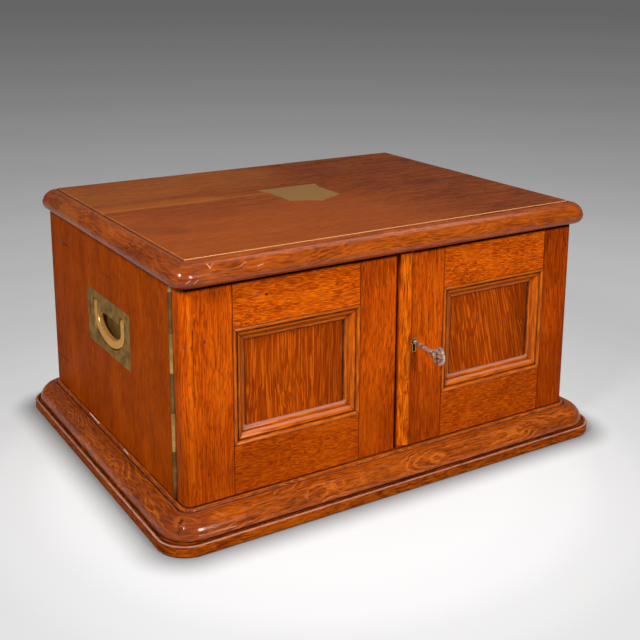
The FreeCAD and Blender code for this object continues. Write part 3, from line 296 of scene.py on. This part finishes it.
def polished_oak(name, board, seed, grain="x", slant=0.0, mitred=None, plane="xy", lines=(), marks=(), mitre=0.0,
                 gloss=0.38, coat=0.0, coat_rough=0.2, specular=0.015, **figure):
    """French-polished oak: a warm figure under a thin amber film of shellac.

    Grain is the axis that the board's grain follows, turned by slant. Mitred gives a frame's
    centre and half size in its plane, in mm, and then the grain follows each side. Lines run
    along all of its sides, (out, width, colour, strength, lowest and highest up) in its section,
    and mitre is how dark its corner joints are; marks lie anywhere on the piece.
    """
    material, tree, surface = shader(name, Roughness=gloss, Coat_Weight=coat, Coat_Roughness=coat_rough,
                                     Specular_IOR_Level=specular, Specular_Tint=linear("#ffa050"))
    place = add(tree, "TexCoord", out="Object")
    real = add(tree, "VectorMath", place, {"Scale": 1 / MM}, operation="SCALE")
    if mitred:
        flat = place
        if plane == "xz":
            axes = add(tree, "SeparateXYZ", place, out=None).outputs
            flat = add(tree, "CombineXYZ", axes[0], axes[2], axes[1])
        sides = add(tree, "Group", {"Position": flat, "Centre": millimetres(mitred[0]) + (0.0,),
                                    "Half": millimetres(mitred[1]) + (0.0,)}, node_tree=MITRE, out=None).outputs
        aligned = sides["Place"]
    else:
        turn = GRAIN_TURNS[grain]
        aligned = add(tree, "Mapping", {"Vector": place, "Rotation": (turn[0], turn[1] + slant, turn[2])})
    moved = add(tree, "VectorMath", aligned, (seed, 0.0, 0.0), operation="ADD")
    look = {key.capitalize(): linear(code) for key, code in board.items()}
    look.update({key.replace("_", " ").capitalize(): value for key, value in figure.items()})
    look["Position"] = moved
    oak = add(tree, "Group", look, node_tree=OAK, out=None).outputs
    colour = oak["Color"]
    if mitred:
        # The lines thin out and thicken along their length: dark lines in quirks and joins, wear, painted shadows and
        # painted highlights
        section = add(tree, "CombineXYZ", sides["Out"], sides["Up"])
        stretch = add(tree, "VectorMath", sides["Place"], {"Scale": 1 / MM}, operation="SCALE")
        ragged = add(tree, "Group", {"Position": stretch, "Along": 12.0, "Across": 3.0, "Shift": 4.4, "Detail": 2.0,
                                     "Low": 0.30, "High": 0.52}, node_tree=GRAIN, out="Step")
        ragged = add(tree, "MapRange", ragged, 0.0, 1.0, 0.55, 1.0)
        strips = [((out, low, 0), (out, high, 0), width, code, strength)
                  for out, width, code, strength, low, high in lines]
        lined = marked(tree, colour, section, strips)
        joint = add(tree, "MapRange", sides["Corner"], 1.1 * MM, 0.3 * MM, 0.0, mitre,
                    interpolation_type="SMOOTHSTEP")
        lined = add(tree, "Mix", joint, {6: lined, 7: linear(DIRT_AND_SHADE)}, data_type="RGBA", out=2)
        colour = add(tree, "Mix", ragged, {6: colour, 7: lined}, data_type="RGBA", out=2)
    colour = marked(tree, colour, place, marks)
    tree.links.new(colour, surface.inputs["Base Color"])
    film = add(tree, "Group", {"Position": real, "Along": 22.0, "Across": 22.0, "Shift": seed, "Detail": 2.0},
               node_tree=GRAIN)
    rough = add(tree, "Math", film, 0.2, gloss - 0.1, operation="MULTIPLY_ADD")
    rough = add(tree, "Math", oak["Pore"], 0.15, rough, operation="MULTIPLY_ADD")
    tree.links.new(rough, surface.inputs["Roughness"])
    hand = add(tree, "Group", {"Position": real, "Along": 9.0, "Across": 9.0, "Shift": seed + 2, "Detail": 2.0},
               node_tree=GRAIN)
    relief = add(tree, "Math", oak["Height"], 0.5, hand, operation="MULTIPLY_ADD")
    bump = add(tree, "Bump", {"Height": relief, "Strength": 0.3, "Distance": 0.2 * MM})
    tree.links.new(bump, surface.inputs["Normal"])
    return material


def aged_brass(name, bright="#c9a062", dull="#7d6638", rough=0.36, tarnish=0.5, metal=0.9, marks=()):
    """Old cast or rolled brass: golden where hands rub it and olive brown where it has dulled."""
    material, tree, surface = shader(name, Metallic=metal, Roughness=rough, Specular_IOR_Level=0.2,
                                     Specular_Tint=linear("#b08440"))
    place = add(tree, "TexCoord", out="Object")
    real = add(tree, "VectorMath", place, {"Scale": 1 / MM}, operation="SCALE")
    cloud = add(tree, "Group", {"Position": real, "Along": 12.0, "Across": 12.0, "Detail": 4.0, "Roughness": 0.6},
                node_tree=GRAIN)
    rubs = add(tree, "Group", {"Position": real, "Along": 26.0, "Across": 1.4, "Shift": 3.3, "Detail": 2.0},
               node_tree=GRAIN)
    mask = add(tree, "Math", cloud, 0.8, operation="MULTIPLY")
    mask = add(tree, "Math", rubs, 0.3, mask, operation="MULTIPLY_ADD")
    amount = add(tree, "MapRange", mask, 0.42, 0.70, 0.0, tarnish, interpolation_type="SMOOTHSTEP")
    colour = add(tree, "Mix", amount, {6: linear(bright), 7: linear(dull)}, data_type="RGBA", out=2)
    tree.links.new(marked(tree, colour, place, marks), surface.inputs["Base Color"])
    tree.links.new(add(tree, "Math", amount, 0.2, rough - 0.06, operation="MULTIPLY_ADD"), surface.inputs["Roughness"])
    pits = add(tree, "Group", {"Position": real, "Along": 1.4, "Across": 1.4, "Detail": 2.0}, node_tree=GRAIN)
    tree.links.new(add(tree, "Bump", {"Height": pits, "Strength": 0.2, "Distance": 0.1 * MM}), surface.inputs["Normal"])
    return material


def handled_steel(name, bright="#d6c2b2", dull="#705c50"):
    """Wrought steel: bright where fingers rub it, brown grey in its corners."""
    material, tree, surface = shader(name, Metallic=0.4, Roughness=0.4)
    place = add(tree, "TexCoord", out="Object")
    real = add(tree, "VectorMath", place, {"Scale": 1 / MM}, operation="SCALE")
    cloud = add(tree, "Group", {"Position": real, "Along": 4.0, "Across": 4.0, "Detail": 3.0, "Roughness": 0.6,
                                "Low": 0.4, "High": 0.66}, node_tree=GRAIN, out=None).outputs
    colour = add(tree, "Mix", cloud["Step"], {6: linear(bright), 7: linear(dull)}, data_type="RGBA", out=2)
    tree.links.new(colour, surface.inputs["Base Color"])
    tree.links.new(add(tree, "Math", cloud["Noise"], 0.25, 0.25, operation="MULTIPLY_ADD"), surface.inputs["Roughness"])
    return material


def woollen_baize(name):
    """Green woollen baize glued over a thin board: matt, with a short felted nap."""
    material, tree, surface = shader(name, Roughness=0.95, Sheen_Weight=0.4, Sheen_Roughness=0.5,
                                     Specular_IOR_Level=0.2)
    place = add(tree, "TexCoord", out="Object")
    real = add(tree, "VectorMath", place, {"Scale": 1 / MM}, operation="SCALE")
    nap = add(tree, "Group", {"Position": real, "Along": 0.9, "Across": 0.9, "Detail": 3.0, "Roughness": 0.7},
              node_tree=GRAIN)
    wear = add(tree, "Group", {"Position": real, "Along": 60.0, "Across": 60.0, "Detail": 2.0, "Low": 0.45,
                               "High": 0.75}, node_tree=GRAIN, out="Step")
    colour = add(tree, "Mix", nap, {6: linear("#173c26"), 7: linear("#2c6040")}, data_type="RGBA", out=2)
    rubbed = add(tree, "Math", wear, 0.35, operation="MULTIPLY")
    colour = add(tree, "Mix", rubbed, {6: colour, 7: linear("#50704a")}, data_type="RGBA", out=2)
    tree.links.new(colour, surface.inputs["Base Color"])
    tree.links.new(add(tree, "Bump", {"Height": nap, "Strength": 0.6, "Distance": 0.4 * MM}), surface.inputs["Normal"])
    return material


def dress(node, material, round_off=0.0, segments=2):
    """Gives a node its finish and a small round, in mm, on its sharp arrises."""
    piece = NODES[node]
    piece.data.materials.clear()
    piece.data.materials.append(material)
    if round_off:
        weld = piece.modifiers.new("weld", "WELD")
        weld.merge_threshold = 0.00001
        arris = piece.modifiers.new("arris", "BEVEL")
        arris.width = round_off * MM
        arris.segments = segments
        arris.limit_method = "ANGLE"
        arris.angle_limit = math.radians(38)
        arris.harden_normals = True
        arris.use_clamp_overlap = True


def dress_top():
    up = 271.3
    board_marks = [((-240, -110.0, up), (-40, -120.0, up), 190.0, "#b4561a", 0.5),
                   ((-231, 20.0, up), (231, 20.0, up), 0.9, "#5a2a14", 0.6),
                   ((-236, 34.0, up), (-110, 30.0, up), 20.0, "#bc6418", 0.42),
                   ((-236, 24.5, up), (-20, 22.5, up), 5.0, "#c87024", 0.4),
                   ((-110, 30.0, up), (-20, 26.0, up), 12.0, "#b06020", 0.3),
                   ((-196, 112.0, up), (-40, 124.0, up), 100.0, "#c4702a", 0.3),
                   ((-240, -50.0, up), (-196, -80.0, up), 20.0, "#5c2a12", 0.25),
                   ((-180, -20.0, up), (-60, -30.0, up), 26.0, "#6b3014", 0.18)]
    board_marks += [((x0, y0, up), (x1, y1, up), 1.0, "#e8aa74", strength)
                    for x0, y0, x1, y1, strength in ((-231, -179.4, 231, -179.4, 0.9), (-231, 171.0, 231, 171.0, 0.4),
                                                     (-231.2, -179, -231.2, 171, 0.4), (231.2, -179, 231.2, 171, 0.4))]
    dress("top_boards", polished_oak(
        "french_polished_top_oak", TOP_OAK, 0.4, gloss=0.40, specular=0.16, marks=board_marks, streak_length=75.0,
        streak_width=2.1, streaks=0.7, pores=0.75, pore_length=12.0, ripple=0.05, ripple_length=30.0, blotches=0.35), 0.6)
    edge = ((0.0, -4.2), (231.0, 175.0))
    # Along the moulding: a dark line in the quirk against the top board, a painted greyish highlight along its inner
    # top, and a painted black shadow on its underside over the doors
    lines = [(0.8, 1.9, "#3a241e", 0.95, 266.6, 268.8), (2.7, 1.5, "#8c6458", 0.65, 268.6, 270.4),
             (11.0, 4.0, "#140602", 1.0, 244.0, 247.3)]
    # The first mark darkens the front-left corner; the others are pale and dark scratches and a paler patch on the left
    # moulding
    corner_and_scratch_marks = [((-243.0, -184.0, 258.0), (-234.0, -192.0, 266.0), 26.0, "#6a2e20", 0.35), ((-213.9, -189.6, 267.4), (-212.7, -193.1, 264.5), 0.9, "#d8a890", 0.75),
                 ((-212.7, -193.1, 264.5), (-208.0, -189.5, 267.4), 0.7, "#cf9a80", 0.5),
                 ((-184.0, -194.6, 262.3), (-177.1, -193.0, 264.6), 0.8, "#b98068", 0.6),
                 ((-166.5, -195.8, 260.0), (-161.1, -195.4, 261.0), 0.9, "#c09080", 0.6),
                 ((-237.1, -195.5, 254.4), (-233.7, -196.5, 256.8), 0.7, "#c8a090", 0.6),
                 ((-230.0, -196.5, 253.5), (-226.2, -196.7, 256.6), 0.6, "#c8a090", 0.6),
                 ((-243.7, -81.6, 265.7), (-245.2, -102.8, 264.0), 0.9, "#3a1a0c", 0.7),
                 ((-247.4, -110.4, 260.4), (-245.2, -114.9, 264.0), 1.0, "#34160a", 0.7),
                 ((-248.5, 60.0, 258.0), (-248.5, 110.0, 262.0), 12.0, "#c06a18", 0.35)]
    dress("top_edge_moulding", polished_oak(
        "french_polished_moulding_oak", MOULD_OAK, 1.1, mitred=edge, lines=lines, marks=corner_and_scratch_marks, gloss=0.42,
        coat=0.55, coat_rough=0.15, specular=0.01, streak_length=18.0, streak_width=1.5, streaks=0.5, pores=0.3,
        pore_length=6.0,
        ripple=0.25, blotches=0.4, rings=0.2, ring_pitch=2.4, pith_out=-20.0, pith_up=205.0), 0.3)


def dress_plinth():
    corners = ((0.0, 0.0), (229.5, 175.0))
    # Along the moulding: dark lines at the doors' foot and in the groove before the torus, pale lines on the bead and
    # along the torus's top edge, and a painted shadow in the groove under the torus
    lines = [(8.0, 1.2, DIRT_AND_SHADE, 0.9, 30.0, 36.0), (10.2, 0.9, "#c4703a", 0.5, 32.0, 34.0),
             (13.0, 1.1, "#301a1a", 0.95, 29.0, 31.0), (14.6, 0.8, "#9a6a5c", 0.45, 30.5, 32.0),
             (32.0, 1.8, DIRT_AND_SHADE, 0.95, 11.0, 12.6)]
    # The first mark darkens the front-left corner; then pale worn lines run low round the corner on the torus, and pale
    # scratches on the bead of the left side are painted as white glints
    wear = [((-252.0, -190.0, 20.0), (-238.0, -204.0, 27.0), 34.0, "#60261c", 0.4), ((-198.6, -207.5, 17.2), (-234.8, -206.5, 18.0), 0.8, "#b08c78", 0.7),
            ((-234.8, -206.5, 18.0), (-255.0, -194.0, 17.4), 0.8, "#b08c78", 0.7),
            ((-255.0, -194.0, 17.4), (-262.1, -155.3, 16.7), 0.8, "#a08070", 0.6),
            ((-239.8, 68.4, 33.2), (-240.3, 38.3, 33.1), 1.0, "#f0dcc8", 0.8),
            ((-240.3, -35.6, 33.1), (-240.8, -48.0, 32.8), 0.9, "#e8d0b8", 0.7)]
    dress("plinth_moulding", polished_oak(
        "french_polished_plinth_oak", MOULD_OAK, 2.0, mitred=corners, lines=lines, marks=wear, gloss=0.42,
        coat=0.55, coat_rough=0.15, specular=0.01, streak_length=14.0, streak_width=1.4, streaks=0.6, pores=0.4,
        pore_length=6.0, ripple=0.15, blotches=0.4, rings=0.5, ring_pitch=2.1, ring_wander=11.0, pith_out=-30.0,
        pith_up=-35.0), 0.3)
    strip = ((0.0, 0.0), (235.0, 180.5))
    # A painted shadow in the groove under the torus, a painted highlight along the strip's top arris, and a dark line
    # at the strip's foot
    lines = [(27.8, 1.5, "#2c1814", 0.95, 11.0, 12.0), (31.0, 1.2, "#c0988c", 0.8, 11.0, 12.0),
             (32.3, 1.6, DIRT_AND_SHADE, 0.8, -1.0, 0.6)]
    dress("plinth_strips", polished_oak(
        "french_polished_strip_oak", MOULD_OAK, 2.7, mitred=strip, lines=lines, streak_length=14.0,
        streak_width=1.6, pores=0.4, blotches=0.4, specular=0.01), 0.4)


def dress_case():
    out = -237.5
    grain_marks = [((out, 169.0, 213.9), (out, 125.4, 214.1), 1.3, "#6a5048", 0.85),
                   ((out, 139.0, 214.0), (out, 125.0, 213.4), 1.5, "#2e120a", 0.7),
                   ((out, 183.0, 69.0), (out, 140.0, 69.5), 1.3, "#4c2a1c", 0.75),
                   ((out, 17.7, 209.7), (out, -12.2, 210.5), 0.9, "#4a2410", 0.6),
                   ((out, -33.3, 214.8), (out, -31.1, 194.3), 0.7, "#5a2408", 0.6),
                   ((out, 22.6, 234.3), (out, 23.9, 218.0), 0.8, "#5a2408", 0.6),
                   ((out, -104.7, 238.5), (out, -104.7, 236.0), 1.0, "#3c1606", 0.8),
                   ((out, -142.0, 207.3), (out, -142.0, 206.0), 1.1, "#3c1606", 0.8),
                   ((out, -116.9, 131.0), (out, -115.0, 129.0), 1.1, "#3c1606", 0.8),
                   ((out, 200.0, 40.0), (out, 200.0, 240.0), 40.0, "#7c2e00", 0.35)]
    side = polished_oak("french_polished_side_oak", SIDE_OAK, 3.2, grain="z", marks=grain_marks, streak_length=22.0,
                        streak_width=1.5, streaks=0.48, pores=0.25, pore_length=10.0, blotches=0.5, gloss=0.42,
                        specular=0.006)
    dress("left_side", side, 0.6)
    dress("right_side", side, 0.6)
    inner = polished_oak("planed_oak", INNER_OAK, 4.0, gloss=0.62, streak_length=20.0, pores=0.3)
    for node in ("case_bottom", "top_lining", "base_board", "glue_blocks", "drawer_runners"):
        dress(node, inner, 0.5)
    dress("back_panel", polished_oak("stained_back_oak", BACK_OAK, 4.6, gloss=0.5, streak_length=40.0,
                                     streak_width=1.6, streaks=0.6, pores=0.4, ripple=0.2), 0.5)


def dress_doors():
    front = -183.0
    low = 34.5
    high = 244.8
    # Dark joint lines where the rails meet the stiles, and a broad painted black shadow along the doors' top, under the
    # top moulding
    joints = [((x, front, low), (x, front, high), 0.9, "#4c1c08", 0.8) for x in (-186.6, -46.3, 57.5, 195.8)]
    joints += [((-240, front, high), (240, front, high), 4.6, "#140602", 1.0)]
    # Painted shade in the gap between the doors, and a painted shadow that the meeting bead casts on the lock stile
    painted_gap_shade = [((-2.4, front, low), (-2.4, front, high), 1.2, "#1c0a04", 0.9),
               ((16.2, front, low), (16.2, front, high), 3.0, "#7a2e06", 0.6)]
    dents = [((-234.2, -181.0, 189.4), (-234.2, -181.0, 190.4), 1.6, "#5c3c30", 0.7),
             ((-228.3, front, 188.9), (-228.3, front, 190.2), 1.7, "#4c1c0a", 0.8),
             ((-212.3, front, 241.5), (-212.3, front, 241.6), 1.4, "#6a5050", 0.6),
             ((-214.9, front, 193.5), (-214.9, front, 192.5), 1.6, "#3e1c1c", 0.7),
             ((-230.8, -182.7, 154.2), (-230.8, -182.7, 155.0), 1.3, "#5c3840", 0.6),
             ((-230.2, -182.8, 70.6), (-230.2, -182.8, 70.0), 1.4, "#5c3830", 0.6),
             ((-228.9, front, 42.1), (-228.9, front, 41.4), 1.4, "#5c3830", 0.5),
             ((-213.1, front, 62.6), (-213.1, front, 61.0), 1.5, "#4a2420", 0.6),
             ((-199.3, front, 58.4), (-199.3, front, 57.6), 1.4, "#4a2420", 0.5),
             ((222.9, front, 235.9), (228.7, front, 220.2), 0.9, "#3c1408", 0.8),
             ((-229.7, front, 60.0), (-229.7, front, 236.0), 3.0, "#ea760c", 0.28),
             ((-226.0, front, 132.0), (-226.6, front, 205.0), 0.9, "#521c06", 0.6),
             ((-232.8, front, 176.0), (-232.4, front, 232.0), 0.9, "#521c06", 0.6)]
    # Painted shade: the stiles and lower rails darken towards their feet, as the light falls off lower down
    foot = [((-240, front, 38.0), (240, front, 38.0), 95.0, "#7a2a02", 0.34)]
    stiles = {"left_door_hinge_stile": (STILE_OAK, 5.0, dents), "left_door_meeting_stile": (STILE_OAK, 5.2, painted_gap_shade),
              # The lock stile also gets a painted shadow below the key
              "right_door_lock_stile": (STILE_OAK, 5.35, painted_gap_shade + [
                  ((22.5, front, 136.0), (23.0, front, 116.4), 2.6, "#6a2808", 0.5)]),
              "right_door_hinge_stile": (LOW_STILE_OAK, 5.5, dents)}
    for node, (board, seed, marks) in stiles.items():
        dress(node, polished_oak("french_polished_" + node + "_oak", board, seed, grain="z",
                                 marks=joints + foot + marks, streak_length=34.0, streak_width=0.95, streaks=0.52,
                                 pores=0.45, pore_length=8.0, ripple=0.03, blotches=0.3), 0.7)
    knots = [((-151.5, front, 227.1), (-150.5, front, 227.1), 1.7, "#2c1006", 0.9),
             ((-162.5, front, 228.9), (-160.5, front, 228.9), 1.4, "#7a6470", 0.6)]
    rail = polished_oak("french_polished_rail_oak", RAIL_OAK, 5.6, slant=math.radians(-4), marks=joints + foot + knots,
                        streak_length=9.0, streak_width=0.9, streaks=0.66, pores=0.15, pore_length=6.0, ripple=0.45,
                        ripple_length=11.0, blotches=0.25)
    # Painted shade in the gap at the bead's left edge and on the bevel of its right edge
    painted_bead_edge_shade = [((0.5, -187.0, low), (0.5, -187.0, high), 1.2, "#3a1a06", 0.7),
                  ((13.5, -187.0, low), (13.5, -187.0, high), 1.0, "#8a3c08", 0.5)]
    bead = polished_oak("french_polished_bead_oak", BEAD_OAK, 6.6, grain="z", streak_length=22.0, streak_width=1.5,
                        streaks=0.95, pores=0.35, pore_length=5.0, marks=painted_bead_edge_shade)
    for door, middle, half, slant, seed in (("left_door_", -116.45, 70.15, 0.0, 6.1),
                                            ("right_door_", 126.65, 69.15, math.radians(12), 6.3)):
        left, right = middle - half, middle + half
        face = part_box(door + "panel")[0][1] / MM
        shades = [((right - 20, face, 90.0), (right - 24, face, 195.0), 26.0, "#5a1e02", 0.35),
                  ((left + 15, face, 98.9), (left + 15, face, 185.0), 3.0, "#5a2006", 0.7),
                  ((left + 15, face, 185.0), (right - 15, face, 185.0), 1.8, "#2c0a02", 0.8),
                  ((right - 15, face, 98.9), (right - 15, face, 185.0), 2.0, "#30201c", 0.85)]
        panel = polished_oak("french_polished_" + door + "panel_oak", PANEL_OAK, seed, grain="z", slant=slant,
                             marks=shades, streak_length=26.0, streak_width=1.2, streaks=0.5, pores=0.2, ripple=0.2,
                             ripple_length=18.0, rays=0.72, ray_length=60.0, ray_width=1.25, blotches=0.3)
        # Dark lines: dirt at the outer edge, darker lines in the quirk and at the fillet, and a painted shadow at the
        # inner edge against the panel
        lines = [(0.0, 1.0, "#4a2420", 0.75, -190, -170), (-4.7, 1.4, "#4c1e08", 0.9, -190, -170),
                 (-10.8, 1.0, "#6a2c08", 0.6, -190, -170), (-15.0, 1.4, "#3c1a10", 0.85, -190, -170)]
        # Pale lines along the bottom pieces: dust, and painted sheen and highlights where their upward hollows catch
        # the light
        dust_and_painted_sheen = [((left + 14, -177.0, 98.5), (right - 14, -177.0, 98.5), 2.6, "#c48c78", 0.7),
                ((left + 8, -180.0, 92.6), (right - 8, -180.0, 92.6), 2.2, "#cc8c70", 0.5),
                ((left + 2, -183.5, 85.5), (right - 2, -183.5, 85.5), 1.6, "#d09070", 0.4)]
        mould = polished_oak(door + "moulding_oak", PANEL_MOULD_OAK, 7.0 + half * 0.01,
                             mitred=((middle, 141.95), (half, 58.05)), plane="xz", lines=lines, marks=dust_and_painted_sheen, mitre=0.7,
                             streak_length=24.0, streak_width=1.3, streaks=0.6, pores=0.25, ripple=0.1, blotches=0.3,
                             gloss=0.36, specular=0.04, coat=0.22, coat_rough=0.2)
        for part in ("top_rail", "bottom_rail"):
            dress(door + part, rail, 0.3)
        dress(door + "panel", panel)
        dress(door + "panel_moulding", mould, 0.2)
    dress("right_door_meeting_bead", bead, 0.6)


def dress_drawers():
    front = polished_oak("french_polished_drawer_oak", RAIL_OAK, 8.0, streak_length=12.0, pores=0.4)
    inner = polished_oak("planed_drawer_oak", INNER_OAK, 8.6, gloss=0.62, streak_length=20.0, pores=0.3)
    cloth = woollen_baize("green_woollen_baize")
    for level in ("bottom", "middle", "top"):
        dress(level + "_drawer_front", front, 0.8)
        dress(level + "_drawer_box", inner, 0.5)
        dress(level + "_drawer_insert", cloth, 0.8)
        dress(level + "_drawer_pulls", BRASS, 0.3)


def dress_metal():
    for side in ("left", "right"):
        dress(side + "_handle_plate", aged_brass(side + "_sheet_brass", "#b28c46", "#625024", 0.34, 0.8, 0.6), 0.3)
        dress(side + "_handle_bail", CAST_BRASS, 0.3)
        dress(side + "_hinge_case_leaf", BRASS, 0.15)
        dress(side + "_hinge_door_leaf", DARK_BRASS, 0.15)
        dress(side + "_hinge_pin", BRASS)
        dress(side + "_door_screws", BRASS)
    for node in ("handle_pins", "case_screws", "strike_plate", "left_door_bolt_plate", "left_door_bolt",
                 "escutcheon", "lock_case"):
        dress(node, BRASS, 0.15)
    dress("shield_plate", aged_brass("shield_brass", "#ba8c58", "#a07a49", 0.55, 0.5, 0.5), 0.2)
    dress("key", handled_steel("handled_key_steel"), 0.2)
    dress("lock_bolt", handled_steel("bolt_steel"), 0.3)


BRASS = aged_brass("fitting_brass")
DARK_BRASS = aged_brass("tarnished_hinge_brass", "#8a6c42", "#5a472a", 0.42, 0.8)
CAST_BRASS = aged_brass("cast_bail_brass", "#fcbe6a", "#c8984c", 0.27, 0.4, 0.55)


def make_camera():
    """The camera, whose right side tips up by its roll."""
    place = Vector(CAMERA_PLACE)
    ahead = (Vector(CAMERA_TARGET) - place).normalized()
    right = ahead.cross(Vector((0, 0, 1))).normalized()
    up = right.cross(ahead)
    across = right * math.cos(CAMERA_ROLL) + up * math.sin(CAMERA_ROLL)
    above = up * math.cos(CAMERA_ROLL) - right * math.sin(CAMERA_ROLL)
    data = bpy.data.cameras.new("camera")
    data.lens = CAMERA_LENS
    data.sensor_width = CAMERA_SENSOR
    data.shift_y = CAMERA_SHIFT
    data.clip_end = 100
    camera = bpy.data.objects.new("camera", data)
    camera.matrix_world = Matrix.Translation(place) @ Matrix((across, above, -ahead)).transposed().to_4x4()
    bpy.context.scene.collection.objects.link(camera)
    bpy.context.scene.camera = camera


def softbox(name, angle, height_angle, size, power):
    """A square softbox that looks at the middle of the case."""
    aim = Vector((0, 0, 0.14))
    level = SOFTBOX_DISTANCE * math.cos(height_angle)
    place = aim + Vector((level * math.sin(angle), -level * math.cos(angle), SOFTBOX_DISTANCE * math.sin(height_angle)))
    data = bpy.data.lights.new(name, "AREA")
    data.energy = power
    data.size = size
    lamp = bpy.data.objects.new(name, data)
    lamp.rotation_euler = (aim - place).to_track_quat("-Z", "Y").to_euler()
    lamp.location = place
    lamp.visible_camera = False
    bpy.context.scene.collection.objects.link(lamp)


def seen(tree):
    """1 for the camera's rays and for those that polish or glass sends on, else 0."""
    path = add(tree, "LightPath", out=None).outputs
    rays = add(tree, "Math", path["Is Camera Ray"], path["Is Glossy Ray"], operation="MAXIMUM")
    return add(tree, "Math", rays, path["Is Transmission Ray"], operation="MAXIMUM")


def make_lights():
    """The softboxes, and a studio that fills evenly and shows as a grey backdrop."""
    for name, angle, height_angle, size, power in SOFTBOXES:
        softbox(name, math.radians(angle), math.radians(height_angle), size, power)
    world = bpy.data.worlds.new("studio")
    world.use_nodes = True
    tree = world.node_tree
    tree.nodes.clear()
    fill = add(tree, "Background", (1.0, 1.0, 1.0, 1.0), STUDIO_FILL)
    backdrop = add(tree, "Background", linear(STUDIO_GREY), 1.0)
    add(tree, "OutputWorld", add(tree, "MixShader", seen(tree), fill, backdrop), out=None)
    bpy.context.scene.world = world


def ramp(tree, value, stops):
    """A smooth colour ramp over value; stops give (place from 0 to 1, RGBA)."""
    node = add(tree, "ValToRGB", value, out=None)
    node.color_ramp.interpolation = "EASE"
    elements = node.color_ramp.elements
    while len(elements) > 1:
        elements.remove(elements[0])
    for index, (place, colour) in enumerate(stops):
        element = elements[0] if index == 0 else elements.new(place)
        element.position = place
        element.color = colour
    return node.outputs[0]


def make_floor():
    """A round paper floor, pale where the case stands and grey far away."""
    steps = 96
    ring = [(FLOOR_RADIUS * math.cos(2 * math.pi * i / steps), FLOOR_RADIUS * math.sin(2 * math.pi * i / steps), 0)
            for i in range(steps)]
    mesh = bpy.data.meshes.new("floor")
    mesh.from_pydata(ring, [], [list(range(steps))])
    floor = bpy.data.objects.new("floor", mesh)
    bpy.context.scene.collection.objects.link(floor)
    material, tree, surface = shader("backdrop_paper", Roughness=0.9, Specular_IOR_Level=0.0,
                                     Base_Color=linear(FLOOR_PAPER))
    place = add(tree, "TexCoord", out="Object")
    away = add(tree, "VectorMath", place, FLOOR_POOL, operation="DISTANCE", out="Value")
    # The fourth root spreads the near stops over the ramp
    share = add(tree, "Math", away, FLOOR_REACH, operation="DIVIDE")
    share = add(tree, "Math", share, 0.4, operation="POWER", use_clamp=True)
    glow = ramp(tree, share, [((reach / FLOOR_REACH) ** 0.4, (value, value, value, 1.0))
                              for reach, value in FLOOR_GLOW])
    # The contact shadow: the glow fades towards the plinth's rounded rectangle
    beyond = add(tree, "VectorMath", place, operation="ABSOLUTE")
    beyond = add(tree, "VectorMath", beyond, FOOTPRINT_HALF, operation="SUBTRACT")
    beyond = add(tree, "VectorMath", beyond, (0.0, 0.0, 0.0), operation="MAXIMUM")
    gap = add(tree, "VectorMath", beyond, operation="LENGTH", out="Value")
    shade = add(tree, "MapRange", gap, FOOTPRINT_ROUND + SHADE_START, FOOTPRINT_ROUND + SHADE_END,
                interpolation_type="SMOOTHSTEP")
    tree.links.new(glow, surface.inputs["Emission Color"])
    tree.links.new(add(tree, "Math", shade, seen(tree), operation="MULTIPLY"), surface.inputs["Emission Strength"])
    mesh.materials.append(material)


make_camera()
make_lights()
make_floor()
dress_top()
dress_plinth()
dress_case()
dress_doors()
dress_drawers()
dress_metal()
bpy.context.scene.view_settings.view_transform = "Standard"
